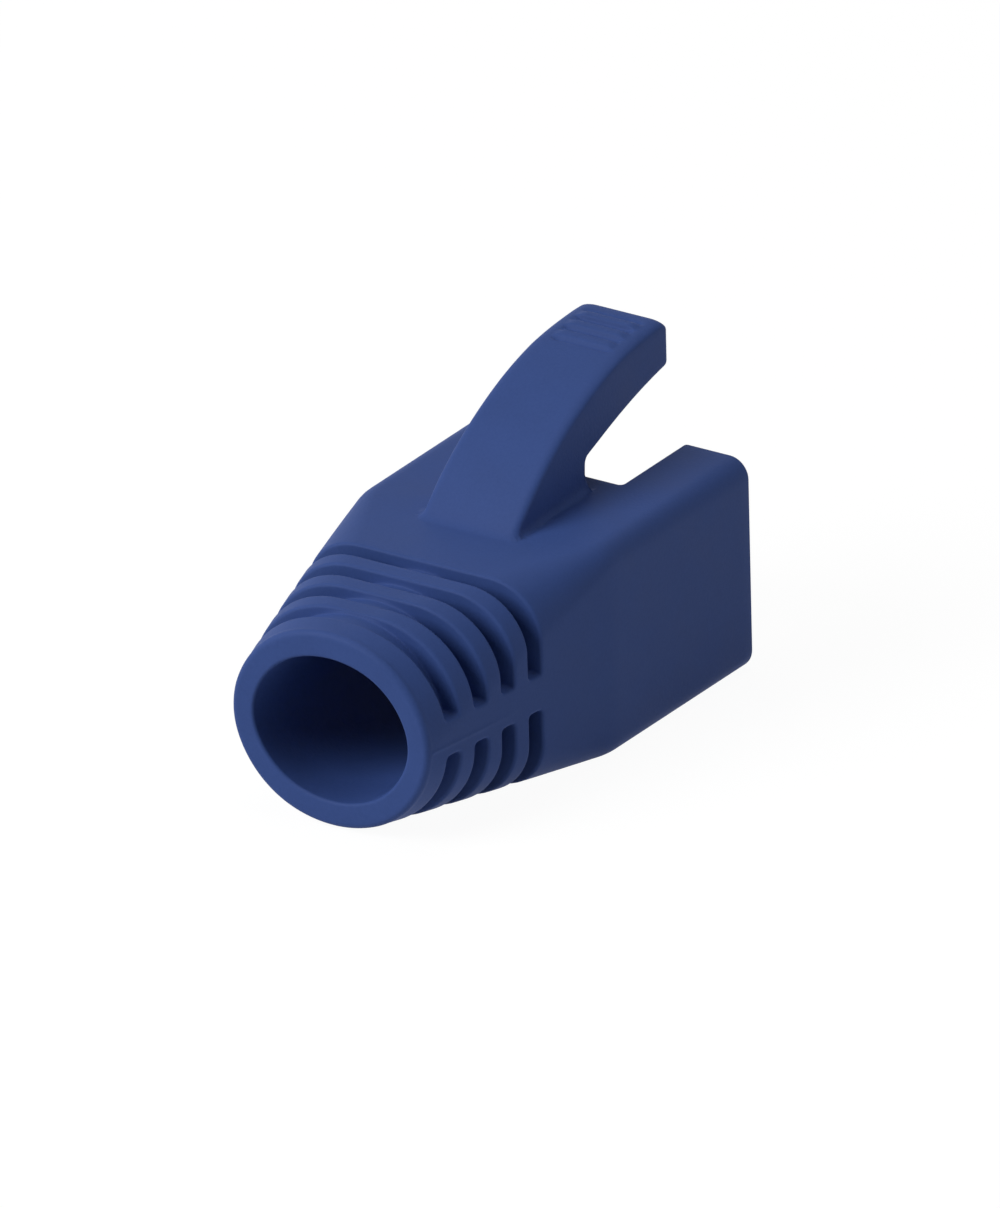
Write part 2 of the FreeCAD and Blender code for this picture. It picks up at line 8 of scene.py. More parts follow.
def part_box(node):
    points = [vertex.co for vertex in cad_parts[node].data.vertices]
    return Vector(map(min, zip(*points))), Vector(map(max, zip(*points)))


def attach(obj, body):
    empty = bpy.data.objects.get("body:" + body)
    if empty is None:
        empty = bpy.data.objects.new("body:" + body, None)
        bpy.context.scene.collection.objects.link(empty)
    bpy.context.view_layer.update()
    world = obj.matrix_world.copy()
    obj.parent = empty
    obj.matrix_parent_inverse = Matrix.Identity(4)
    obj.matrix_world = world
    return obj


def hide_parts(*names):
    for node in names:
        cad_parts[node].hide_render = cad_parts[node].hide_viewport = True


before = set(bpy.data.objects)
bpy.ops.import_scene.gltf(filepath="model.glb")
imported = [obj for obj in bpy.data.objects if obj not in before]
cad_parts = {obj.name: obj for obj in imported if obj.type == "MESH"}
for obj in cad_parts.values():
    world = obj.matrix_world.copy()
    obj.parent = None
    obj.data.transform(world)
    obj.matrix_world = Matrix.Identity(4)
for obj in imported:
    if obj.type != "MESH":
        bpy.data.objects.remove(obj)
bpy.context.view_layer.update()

# The neck: a tapering tube that holds the cable behind the plug, oval at its mouth and square
# where it meets the sleeve. The whole boot is moulded in one shot from a soft, matt plastic.
# Lengths are in millimetres, with Y from the mouth's face and Z from the middle of the sleeve.
MOUTH = (10.6, 9.54)
MOUTH_DROP = 0.26
LIP = 0.35
NECK = 13.0
NECK_BULGE = 0.09
SHOULDER_BLEND = 0.5
SLEEVE = (13.6, 10.4)
SLEEVE_CORNER = 1.0
FLAT = (SLEEVE[0] / 2 - SLEEVE_CORNER, SLEEVE[1] / 2 - SLEEVE_CORNER)
OVAL_FLAT = 0.01
CROWN_ANGLE = math.radians(20)


def half_outline(half_width, half_height, flat_x, flat_z, samples=91):
    """The right half of a section, from the middle of its floor to the middle of its crown.

    Flats of half lengths flat_x and flat_z are joined by corners. A corner turns through 90
    degrees on three arcs: the mean of its width and height is the radius of the middle one, and
    the two beside it are flatter and tighter by the same amount, so that the arcs join smoothly.
    Each argument may be an array with one value a section; x and z come with one row a section.
    """
    shape = np.broadcast_arrays(half_width, half_height, flat_x, flat_z)
    half_width, half_height, flat_x, flat_z = (np.atleast_1d(size)[:, None] for size in shape)
    wide, high = half_width - flat_x, half_height - flat_z
    mean = (wide + high) / 2
    change = (wide - high) / 2 / (math.sin(CROWN_ANGLE) + math.cos(CROWN_ANGLE) - 1)
    slope = np.linspace(0, math.pi / 2, samples)[None, :]
    on_side = slope < CROWN_ANGLE
    on_crown = slope > math.pi / 2 - CROWN_ANGLE
    tighter, flatter = mean - change, mean + change
    x = np.where(on_side, half_width - tighter + tighter * np.cos(slope), np.where(
        on_crown, flat_x + flatter * np.cos(slope),
        flat_x + change * math.sin(CROWN_ANGLE) + mean * np.cos(slope)))
    z = np.where(on_side, flat_z + tighter * np.sin(slope), np.where(
        on_crown, half_height - flatter + flatter * np.sin(slope),
        flat_z - change * math.sin(CROWN_ANGLE) + mean * np.sin(slope)))
    middle = 0 * x[:, :1]
    return (
        np.hstack([middle, x[:, ::-1], x, middle]),
        np.hstack([middle - half_height, -z[:, ::-1], z, middle + half_height]))


def run_lengths(x, z):
    """How far along its outline each point lies: the sum of the steps up to it."""
    steps = np.hypot(np.diff(x, axis=1), np.diff(z, axis=1))
    return np.hstack([0 * x[:, :1], np.cumsum(steps, axis=1)])


def at_stations(stations, lengths, values):
    """Values read off at stations along each section's outline, evenly between its points."""
    return np.array([np.interp(*section) for section in zip(stations, lengths, values)])


def spread(first, *legs):
    """Stations from mark to mark: each leg is its number of even steps and the mark it ends at."""
    stations = [np.asarray(first, float)[..., None]]
    for steps, mark in zip(legs[::2], legs[1::2]):
        start, mark = np.broadcast_arrays(stations[-1][..., -1], mark)
        stations.append(np.linspace(start, mark, steps + 1, axis=-1)[..., 1:])
    return np.concatenate(stations, axis=-1)


# The skin is one grid of points. Its columns keep one level on the side, where the grooves end
# and where the mould's seam runs, and crowd at the corners that the neck grows towards the sleeve.
# On the roof, those that lead to the notch's side start beside it, so none crosses its corner.
OUTER_LEVEL = 1.1
INNER_LEVEL = 0.68
SEAM_LEVEL = -0.3
BESIDE_SEAM = 0.2
LEVELS = np.array((
    -OUTER_LEVEL, -INNER_LEVEL, SEAM_LEVEL - BESIDE_SEAM, SEAM_LEVEL + BESIDE_SEAM,
    INNER_LEVEL, OUTER_LEVEL))
LEVEL_STEPS = (10, 3, 8, 9, 10)
NOTCH_HALF = 3.37
BESIDE_NOTCH = 0.4
side_run = FLAT[1] - OUTER_LEVEL
corner_run = math.pi / 2 * SLEEVE_CORNER
upper_run = side_run + corner_run + FLAT[0]
roof_split = 1 - (NOTCH_HALF + BESIDE_NOTCH) / upper_run
above_side = spread(
    0, 12, side_run / upper_run, 10, (side_run + corner_run) / upper_run, 17, roof_split, 12, 1)
below_side = spread(0, 16, FLAT[0] / upper_run, 10, (FLAT[0] + corner_run) / upper_run, 9, 1)


def neck_sections(places):
    """The neck's right half without its grooves, one row a place along Y.

    Width, height, flats and centre run evenly from the mouth to the sleeve. A swelling, highest
    half-way, is added to the top and the sides, and the start of the sleeve is blended in.
    """
    along = np.clip((places - LIP) / (NECK - LIP), 0, None)
    blend = SHOULDER_BLEND / (NECK - LIP)
    near = np.clip((blend - np.abs(1 - along)) / blend, 0, 1)
    along = np.minimum(along, 1) - blend / 4 * near ** 2
    swelling = NECK_BULGE * 4 * along * (1 - along)
    half_width = MOUTH[0] / 2 * (1 - along) + SLEEVE[0] / 2 * along + swelling
    half_height = MOUTH[1] / 2 * (1 - along) + SLEEVE[1] / 2 * along + swelling / 2
    centre = -MOUTH_DROP * (1 - along) + swelling / 2
    flat_x, flat_z = (OVAL_FLAT * (1 - along) + flat * along for flat in FLAT)
    x, z = half_outline(half_width, half_height, flat_x, flat_z)
    z = z + centre[:, None]
    lengths = run_lengths(x, z)
    marks = np.array([np.interp(LEVELS, *section) for section in zip(z, lengths)]).T
    side = spread(marks[0], *(part for leg in zip(LEVEL_STEPS, marks[1:]) for part in leg))
    below = marks[0][:, None] * below_side[:-1]
    above = marks[-1][:, None] + (lengths[:, -1:] - marks[-1][:, None]) * above_side[1:]
    stations = np.hstack([below, side, above])
    return at_stations(stations, lengths, x), at_stations(stations, lengths, z)


# The neck is worked out once on a fine chart, and its rows are read off there.
CHART_STEP = 0.05
CHART_END = NECK + 1
chart_places = np.arange(0, CHART_END + CHART_STEP / 2, CHART_STEP)
chart_x, chart_z = neck_sections(chart_places)


def on_neck(places):
    """Points of the ungrooved neck at places along Y, one place a row.

    They lie evenly between the two rows of the chart on either side of the place.
    """
    row = np.clip((places / CHART_STEP).astype(int), 0, len(chart_places) - 2)
    part = (places / CHART_STEP - row)[:, None]
    return (
        chart_x[row] * (1 - part) + chart_x[row + 1] * part,
        chart_z[row] * (1 - part) + chart_z[row + 1] * part)


# The grooves: four slots, moulded round the neck down to a round core, that let it bend with the
# cable. They stop at a level spine on each side, which keeps the neck from stretching. A low seam
# stands on the sides where the two halves of the mould met.
GROOVES = 4
FIRST_GROOVE = 1.85
GROOVE_PITCH = 1.87
GROOVE_HALF = 0.45
GROOVE_CORNER = 0.22
GROOVE_EDGE = 0.15
GROOVE_WALL = 0.03
GROOVE_FOOT = 0.1
CORE_RADIUS = 4.75
SPINE_HALF = 0.875
LEAST_DEPTH = 1e-6


def into_groove(x, y, z):
    """Moves points of the neck in where a groove is cut, down to the round core.

    The depth follows the distance inside the slot's outline, whose ends at the spine have round
    corners: a rounded edge, a steep wall, a hollow foot and then the floor. Beside the spine the
    cut runs level, and towards crown and floor it turns evenly to run straight to the axis.
    """
    number = np.clip(np.round((y - FIRST_GROOVE) / GROOVE_PITCH), 0, GROOVES - 1)
    in_y = GROOVE_HALF - np.abs(y - FIRST_GROOVE - GROOVE_PITCH * number)
    in_z = np.abs(z) - SPINE_HALF
    corner_y, corner_z = GROOVE_CORNER - in_y, GROOVE_CORNER - in_z
    inside = GROOVE_CORNER - np.hypot(np.maximum(corner_y, 0), np.maximum(corner_z, 0)) \
        - np.minimum(np.maximum(corner_y, corner_z), 0)

    height = z + MOUTH_DROP
    angle = np.arctan2(height, x)
    end_height = np.where(z > 0, SPINE_HALF, -SPINE_HALF) + MOUTH_DROP
    upper_x, lower_x = (
        at_stations(np.full((len(x), 1), end), z, x) for end in (SPINE_HALF, -SPINE_HALF))
    end_x = np.where(z > 0, upper_x, lower_x)
    end_angle = np.arctan2(end_height, end_x)
    end_core = np.arcsin(end_height / CORE_RADIUS)
    quarter = np.where(z > 0, math.pi / 2, -math.pi / 2)
    turned = end_core + (angle - end_angle) * (quarter - end_core) / (quarter - end_angle)
    level = np.arcsin(np.clip(height / CORE_RADIUS, -1, 1))
    core_angle = np.where(np.abs(z) < SPINE_HALF, level, turned)
    to_x = CORE_RADIUS * np.cos(core_angle) - x
    to_z = CORE_RADIUS * np.sin(core_angle) - height
    full = np.where(np.hypot(x, height) > CORE_RADIUS, np.hypot(to_x, to_z), 0)

    edge, foot = np.minimum(GROOVE_EDGE, full / 2), np.minimum(GROOVE_FOOT, full / 2)
    on_edge = edge - np.sqrt(np.maximum(edge ** 2 - np.clip(inside + edge, 0, edge) ** 2, 0))
    on_wall = (full - edge - foot) * np.clip(inside / GROOVE_WALL, 0, 1)
    past_wall = np.clip(inside - GROOVE_WALL, 0, foot)
    on_foot = np.sqrt(np.maximum(foot ** 2 - (foot - past_wall) ** 2, 0))
    share = (on_edge + on_wall + on_foot) / np.maximum(full, LEAST_DEPTH)
    return x + to_x * share, z + to_z * share


# Rows of the grid crowd where a groove's edge turns, its wall drops and its foot rounds, and lie
# wider apart over each floor and rib. The first row is where the rounding of the mouth ends.
MOUTH_ROUND = 0.3
FLOOR_ROWS = (-0.15, 0, 0.15)
RIB_ROWS = (-0.2, 0, 0.2)
WALL_STEPS = np.array((1, 2, 3)) / 3
bend = np.linspace(0, math.pi / 2, 7)
wall_rows = np.concatenate([
    -GROOVE_EDGE + GROOVE_EDGE * np.sin(bend), GROOVE_WALL * WALL_STEPS,
    GROOVE_WALL + GROOVE_FOOT * (1 - np.cos(bend[2::2]))])
middles = FIRST_GROOVE + GROOVE_PITCH * np.arange(GROOVES)
groove_rows = np.concatenate([wall_rows - GROOVE_HALF, FLOOR_ROWS, GROOVE_HALF - wall_rows[::-1]])
grooved = (middles[:, None] + groove_rows).ravel()
ribs = middles[:-1, None] + GROOVE_PITCH / 2 + np.array(RIB_ROWS)
neck_rows = np.sort(np.concatenate([
    [MOUTH_ROUND, LIP], np.linspace(LIP, grooved[0], 8)[1:-1], grooved, ribs.ravel(),
    np.linspace(grooved[-1], NECK + SHOULDER_BLEND, 30)[1:]]))
neck_x, neck_z = on_neck(neck_rows)
neck_y = neck_rows[:, None]

# The seam is a ridge with a bell-shaped section, at one level, that fades out towards the sleeve.
SEAM_WIDTH = 0.09
SEAM_HEIGHT = 0.035
SEAM_END = 6.4
SEAM_FADE = 3.0
seam = SEAM_HEIGHT * np.exp(-((neck_z - SEAM_LEVEL) / SEAM_WIDTH) ** 2) \
    * np.clip((SEAM_END - neck_y) / SEAM_FADE, 0, 1)
neck_x, neck_z = into_groove(neck_x, neck_y, neck_z)


def grid(x, y, z):
    """Rows of points from their three coordinates, each spread over all rows and columns."""
    return np.stack(np.broadcast_arrays(x, y, z), axis=-1)


neck = grid(neck_x + seam, neck_y, neck_z)

# The mouth: the flat end of the neck, where the cable comes out. Its outer edge and the bore's
# edge are rounded in the mould, so that neither chafes the cable as it bends.
BORE = (8.24, 7.0)
BORE_ROUND = 0.16
FACE_ROWS = (0.08, 0.35, 0.65, 0.92)
ALONG = np.array((0, 1, 0))


def both_sides(rows):
    """Right halves of sections made whole: the left half runs back from crown to floor."""
    return np.hstack([rows, rows[:, -2:0:-1] * (-1, 1, 1)])


def outward(outline):
    """Unit directions square to an outline, in its own plane.

    The way from the point before to the point after is turned by a quarter, away from the middle.
    """
    round_it = both_sides(outline)
    run = (np.roll(round_it, -1, axis=1) - np.roll(round_it, 1, axis=1))[:, :outline.shape[1]]
    square = run[..., ::-1] * (1, 0, -1)
    return square / np.linalg.norm(square, axis=-1, keepdims=True)


def quarter_turn(steps):
    """Sines and cosines of the angles of a rounding, in even steps through 90 degrees."""
    angle = np.linspace(0, math.pi / 2, steps + 1)[:, None, None]
    return np.sin(angle), np.cos(angle)


def between(first, last, shares):
    """Rows of points that lie at shares of the way from one row to another."""
    return first + (last - first) * np.array(shares)[:, None, None]


lip_x, lip_z = on_neck(np.array([MOUTH_ROUND]))
lip = grid(lip_x, 0, lip_z)
sine, cosine = quarter_turn(7)
mouth_edge = lip - outward(lip) * MOUTH_ROUND * (1 - sine) + ALONG * MOUTH_ROUND * (1 - cosine)

# The bore's points lie at the same shares of their outline as those of the lip.
bore_x, bore_z = half_outline(BORE[0] / 2, BORE[1] / 2, OVAL_FLAT, OVAL_FLAT)
bore_lengths = run_lengths(bore_x, bore_z)
lip_lengths = run_lengths(lip_x, lip_z)
bore_stations = lip_lengths / lip_lengths[:, -1:] * bore_lengths[:, -1:]
bore_x, bore_z = (at_stations(bore_stations, bore_lengths, each) for each in (bore_x, bore_z))
bore = grid(bore_x, 0, bore_z - MOUTH_DROP)
sine, cosine = quarter_turn(6)
bore_edge = bore + outward(bore) * BORE_ROUND * (1 - cosine) + ALONG * BORE_ROUND * (1 - sine)
mouth_face = between(bore_edge[-1:], mouth_edge[:1], FACE_ROWS)

# The sleeve: a square tube that grips the rear of the plug, straight from the shoulder to its
# rounded rim. A notch moulded in its roof leaves room for the plug's latch to move.
REAR = 24.35
RIM_ROUND = 0.13
NOTCH_FRONT = 19.1
NOTCH_ROUND = 0.2
SOCKET = (11.88, 8.4)
SOCKET_CORNER = 0.5
NEAR_SHOULDER = 0.06
RIM_ROWS = (0.1, 0.5, 0.9)


def notch_path(corner):
    """The rim's path over half of the roof, seen from above, and the way its face looks.

    It runs in along the rear edge from the sleeve's corner, turns forward round a quarter circle,
    follows the notch's side, turns in round another and ends at the middle of the notch's front.
    """
    turn, back = (np.linspace(0, math.pi / 2, steps + 1)[1:] for steps in (5, 4))
    rear = np.linspace(corner, NOTCH_HALF + NOTCH_ROUND, 7)
    side = np.linspace(REAR - NOTCH_ROUND, NOTCH_FRONT + NOTCH_ROUND, 7)[1:]
    front = np.linspace(NOTCH_HALF - NOTCH_ROUND, 0, 9)[1:]
    path_x = np.concatenate([
        rear, NOTCH_HALF + NOTCH_ROUND * (1 - np.sin(turn)), NOTCH_HALF + 0 * side,
        NOTCH_HALF - NOTCH_ROUND * (1 - np.cos(back)), front])
    path_y = np.concatenate([
        REAR + 0 * rear, REAR - NOTCH_ROUND * (1 - np.cos(turn)), side,
        NOTCH_FRONT + NOTCH_ROUND * (1 - np.sin(back)), NOTCH_FRONT + 0 * front])
    look_x = np.concatenate([
        0 * rear, -np.sin(turn), -1 + 0 * side, -np.cos(back), 0 * front])
    look_y = np.concatenate([
        1 + 0 * rear, np.cos(turn), 0 * side, np.sin(back), 1 + 0 * front])
    return np.stack([path_x, path_y], axis=1), np.stack([look_x, look_y], axis=1)


def with_notch(outline, corner):
    """The rim: an outline moved to the rear, with its roof's points moved to the rim's path.

    With it comes the way that its face looks: straight back, or as on the rim's path.
    """
    path, path_look = notch_path(corner)
    rim = outline * (1, 0, 1) + ALONG * REAR
    look = 0 * rim + ALONG
    rim[0, -len(path):, :2] = path
    look[0, -len(path):, :2] = path_look
    return rim, look


# Each point of the sleeve's outline is one on a rectangle, set in by the corner's radius, and that
# radius away from it. The socket's outline has the rectangle scaled and its own corner's radius.
shoulder = neck[-1:]
inset = np.clip(shoulder, (0, -np.inf, -FLAT[1]), (FLAT[0], np.inf, FLAT[1]))
away = (shoulder - inset) / SLEEVE_CORNER
socket_flat = (SOCKET[0] / 2 - SOCKET_CORNER, SOCKET[1] / 2 - SOCKET_CORNER)
socket_outline = away * SOCKET_CORNER \
    + inset * (socket_flat[0] / FLAT[0], 0, socket_flat[1] / FLAT[1])
rim, look = with_notch(shoulder, FLAT[0])
socket_rim, _ = with_notch(socket_outline, socket_flat[0])
sleeve_end = rim - RIM_ROUND * look
sleeve = between(shoulder, sleeve_end, spread(0, 3, NEAR_SHOULDER, 14, 1)[1:])
sine, cosine = quarter_turn(5)
outer_edge = sleeve_end - away * RIM_ROUND * (1 - cosine) + look * RIM_ROUND * sine
socket_end = socket_rim - RIM_ROUND * look
inner_edge = socket_end + away * RIM_ROUND * (1 - sine) + look * RIM_ROUND * cosine
rim_face = between(outer_edge[-1:], inner_edge[:1], RIM_ROWS)

# The inside: a square socket for the rear of the plug, its floor, and the oval bore that leads the
# cable back to the mouth. A core in the mould forms it, so its walls run straight.
SOCKET_START = 13.35
BESIDE_CORNER = 0.04
NEAR_FLOOR = 0.99
SOCKET_FLOOR_ROWS = (0.03, 0.5, 0.97, 1)
floor_edge = socket_outline + ALONG * SOCKET_START
socket = between(socket_end, floor_edge, spread(0, 12, NEAR_FLOOR, 1, 1)[1:])
socket_floor = between(floor_edge, bore + ALONG * SOCKET_START, SOCKET_FLOOR_ROWS)
bore_rows = np.concatenate([
    [SOCKET_START - BESIDE_CORNER], np.linspace(SOCKET_START, BORE_ROUND, 16)[1:-1]])
passage = bore + ALONG * bore_rows[:, None, None]

# Outside and inside are one closed skin: its rows run from the bore's edge over the mouth, the
# neck and the sleeve to the rim, and back through the socket and the bore.
MILLIMETRE = 0.001
ROOF = SLEEVE[1] / 2
_, mouth_y, table_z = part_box("strain_relief_boot")[0]
skin = np.vstack([
    bore_edge, mouth_face, mouth_edge, neck[1:], sleeve, outer_edge[1:], rim_face, inner_edge,
    socket, socket_floor, passage])


def new_piece(name, rows, closed):
    """A mesh from a grid of points whose columns run round it.

    Each point and its neighbours ahead and beside make a square. Where closed, the last row joins
    the first; otherwise each end gets one flat face. Y starts at the mouth's face and Z at the
    sleeve's middle, so both are moved to the place of the boot in the frame.
    """
    number = np.arange(rows[..., 0].size).reshape(rows.shape[:2])
    ahead = np.roll(number, -1, axis=0) if closed else number[1:]
    here = number if closed else number[:-1]
    beside, ahead_beside = np.roll(here, -1, axis=1), np.roll(ahead, -1, axis=1)
    squares = np.stack([here, ahead, ahead_beside, beside], axis=-1).reshape(-1, 4)
    ends = [] if closed else [number[0].tolist(), number[-1, ::-1].tolist()]
    points = rows.reshape(-1, 3) * MILLIMETRE + (0, mouth_y, table_z + ROOF * MILLIMETRE)
    mesh = bpy.data.meshes.new(name)
    mesh.from_pydata(points, [], squares.tolist() + ends)
    mesh.shade_smooth()
    piece = bpy.data.objects.new(name, mesh)
    bpy.context.scene.collection.objects.link(piece)
    return piece


boot = new_piece("strain_relief_boot_skin", both_sides(skin), closed=True)

# The lever over the notch: it shields the plug's latch and passes on the push of a thumb. It is
# moulded with the boot and grows out of its roof, with a small hollow round its foot. The hollow
# runs on a hair below the roof, so that the two skins cross cleanly.
CREST_RADIUS = 17.25
CREST_RISE = 5.68
UNDER_RADIUS = 35.0
TIP = REAR + 0.65
TIP_THICKNESS = 2.3
TIP_CORNER = 0.7
HEEL = NOTCH_FRONT - 1.5
HEEL_HEIGHT = 1.1
HEEL_FILLET = 0.5
FOOT_FILLET = 0.3
FOOT_SINK = 0.006
TOE = 10.95
TOE_BLEND = 0.22

crest_y = TIP - TIP_CORNER
crest_z = ROOF + CREST_RISE - CREST_RADIUS
tip_z = ROOF + CREST_RISE - TIP_THICKNESS
heel_y, heel_z = HEEL + HEEL_FILLET, ROOF + HEEL_HEIGHT

# The lower face bends about a point at its own radius from the tip's lower corner, and nearer by
# the fillet's radius to the fillet's centre.
gap_y, gap_z = heel_y - TIP, heel_z - tip_z
gap = math.hypot(gap_y, gap_z)
along = (UNDER_RADIUS ** 2 - (UNDER_RADIUS - HEEL_FILLET) ** 2 + gap ** 2) / (2 * gap)
aside = math.sqrt(UNDER_RADIUS ** 2 - along ** 2)
under_y = TIP + (gap_y * along - gap_z * aside) / gap
under_z = tip_z + (gap_z * along + gap_y * aside) / gap
heel_angle = math.atan2(heel_z - under_z, heel_y - under_y)
tip_angle = math.atan2(tip_z - under_z, TIP - under_y)


def arc(centre_y, centre_z, radius, angles):
    """Points of a circle in the lever's side view: its centre, and its radius at each angle."""
    return np.stack([
        centre_y + radius * np.cos(angles), centre_z + radius * np.sin(angles)], axis=1)


def crest_at(y):
    """Points of the lever's upper face over places along Y: a circle that runs out at the toe.

    Where the circle comes down to the neck's top, the higher of the two is taken, with the turn
    between them filled by a parabola.
    """
    bend = crest_z + np.sqrt(CREST_RADIUS ** 2 - (y - crest_y) ** 2)
    top = np.interp(y, chart_places, chart_z[:, -1]) - FOOT_SINK
    near = np.clip(1 - np.abs(bend - top) / TOE_BLEND, 0, 1)
    return np.stack([y, np.maximum(bend, top) + TOE_BLEND / 4 * near ** 2], axis=1)


# Matching rows: upper points from the toe over the crest to the tip, and lower points from inside
# the roof's wall round the foot, up the heel and along the lower face. A fan of rows joins the two
# at the heel, and rows lie closest under the thumb bars. In front of the socket the lower points
# drop with the neck, and on the tip's flat end both lines have two points more, at set heights.
TOE_ROWS, FAN_ROWS, PLAIN_ROWS, BAR_ROWS, LAST_ROWS, TIP_ROWS = 30, 22, 14, 96, 5, 10
FOOT_ROWS, HEEL_ROWS = 8, 4
FAN_FROM, FAN_TO = 16.3, 18.6
BARS_FROM, BARS_TO = 20.6, 23.8
TIP_LOWER_CORNER = 0.12
TIP_UPPER_POINTS, TIP_LOWER_POINTS = (9.9, 9.8), (9.0, 9.1)
ROOT_DEPTH = 0.5
ROOT_SLOPE = 0.18
ROOT_SLOPE_RUN = 2
FOOT_DEPTH = 0.25
upper = np.vstack([
    crest_at(spread(
        TOE, TOE_ROWS, FAN_FROM, FAN_ROWS, FAN_TO, PLAIN_ROWS, BARS_FROM, BAR_ROWS, BARS_TO,
        LAST_ROWS, crest_y)),
    arc(crest_y, ROOF + CREST_RISE - TIP_CORNER, TIP_CORNER,
        np.linspace(math.pi / 2, 0, TIP_ROWS + 1)[1:]),
    np.stack([np.full(2, TIP), TIP_UPPER_POINTS], axis=1)])

root_y = spread(TOE, TOE_ROWS, HEEL + FOOT_FILLET)
root_z = ROOF - ROOT_DEPTH - np.clip(SOCKET_START - root_y, 0, ROOT_SLOPE_RUN) * ROOT_SLOPE
foot_z = ROOF - FOOT_SINK + FOOT_FILLET
corner_share = np.linspace(0, 1, TIP_ROWS + 1)[1:]
before = TIP_LOWER_CORNER * abs(math.sin(tip_angle))
fall_back = TIP_LOWER_CORNER * abs(math.cos(tip_angle))
lower = np.vstack([
    np.stack([root_y, root_z], axis=1),
    [(HEEL + FOOT_FILLET, ROOF - FOOT_DEPTH)],
    arc(HEEL + FOOT_FILLET, foot_z, FOOT_FILLET, -np.linspace(math.pi / 2, math.pi, FOOT_ROWS)),
    np.stack([
        np.full(HEEL_ROWS, HEEL), np.linspace(foot_z, heel_z, HEEL_ROWS + 1)[1:]], axis=1),
    arc(heel_y, heel_z, HEEL_FILLET,
        np.linspace(math.pi, heel_angle, FAN_ROWS - FOOT_ROWS - HEEL_ROWS)[1:]),
    arc(under_y, under_z, UNDER_RADIUS, np.linspace(
        heel_angle, tip_angle + TIP_LOWER_CORNER / UNDER_RADIUS,
        PLAIN_ROWS + BAR_ROWS + LAST_ROWS + 1)[1:]),
    np.stack([
        TIP - before * (1 - corner_share) ** 2,
        tip_z - fall_back * (1 - corner_share) ** 2 + TIP_LOWER_CORNER * corner_share ** 2],
        axis=1),
    np.stack([np.full(2, TIP), TIP_LOWER_POINTS], axis=1)])

# A section's columns run from the middle of the upper face round the side to the middle below.
# Each has the share of the flat's half width at which it lies, how far it falls short of the full
# half width on an edge, and how far down the section it lies. The upper edges widen to the tip.
EDGE_NARROW = (0.35, 0.3)
EDGE_WIDE = (0.8, 0.32)
EDGE_LIMIT = 0.45
UNDER_EDGE = 0.3
UNDER_EDGE_LIMIT = 0.3
SIDE_SHARES = (0.15, 0.3, 0.45, 0.6, 0.75, 0.85)
reach = lower - upper
depth = np.linalg.norm(reach, axis=1, keepdims=True)
down_y, down_z = (reach / depth).T[:, :, None]
climb = np.clip((upper[:, :1] - TOE) / (TIP - TOE), 0, 1)
edge_across, edge_down = (
    np.minimum(narrow + (wide - narrow) * climb, depth * EDGE_LIMIT)
    for narrow, wide in zip(EDGE_NARROW, EDGE_WIDE))
under_edge = np.minimum(UNDER_EDGE, depth * UNDER_EDGE_LIMIT)
turn = np.linspace(0, math.pi / 2, 9)[None, :]
upper_flat = np.linspace(0, 1, 19)[None, :-1]
side = np.array(SIDE_SHARES)[None, :]
lower_flat = np.linspace(1, 0, 7)[None, 1:]


def columns(*parts):
    """Groups of a section's columns side by side, each spread over all the rows of the lever."""
    return np.hstack([np.broadcast_to(part, (len(upper), part.shape[1])) for part in parts])


share = columns(upper_flat, 1 + 0 * turn, 1 + 0 * side, 1 + 0 * turn, lower_flat)
short = columns(
    0 * upper_flat, edge_across * (1 - np.sin(turn)), 0 * side,
    under_edge * (1 - np.cos(turn)), 0 * lower_flat)
fall = columns(
    0 * upper_flat, edge_down * (1 - np.cos(turn)),
    edge_down + (depth - edge_down - under_edge) * side,
    depth - under_edge * (1 - np.sin(turn)), depth + 0 * lower_flat)
lever_y = upper[:, :1] + down_y * fall
lever_z = upper[:, 1:] + down_z * fall

# The width tapers evenly from the shoulder to the tip, whose corners are rounded in plan. The foot
# flares out to the roof, and the neck's top in front of it, on a quarter circle.
ROOT_HALF = 5.05 / 2
TIP_HALF = 4.4 / 2
TIP_SIDE_CORNER = 0.4
half_width = ROOT_HALF + (TIP_HALF - ROOT_HALF) * np.clip((lever_y - NECK) / (TIP - NECK), 0, 1)
past = np.clip((lever_y - TIP + TIP_SIDE_CORNER) / TIP_SIDE_CORNER, 0, 1)
half_width = half_width - TIP_SIDE_CORNER * (1 - np.sqrt(1 - past ** 2))
flat_half = np.where(fall < depth / 2, half_width - edge_across, half_width - under_edge)
lever_x = np.where(share < 1, flat_half * share, half_width - short)
above = lever_z - np.interp(lever_y, chart_places, chart_z[:, -1])
lift = np.clip(FOOT_FILLET - above - FOOT_SINK, 0, FOOT_FILLET)
flare = FOOT_FILLET - np.sqrt(np.maximum(FOOT_FILLET ** 2 - lift ** 2, 0))
lever_x = lever_x * (1 + flare / half_width)

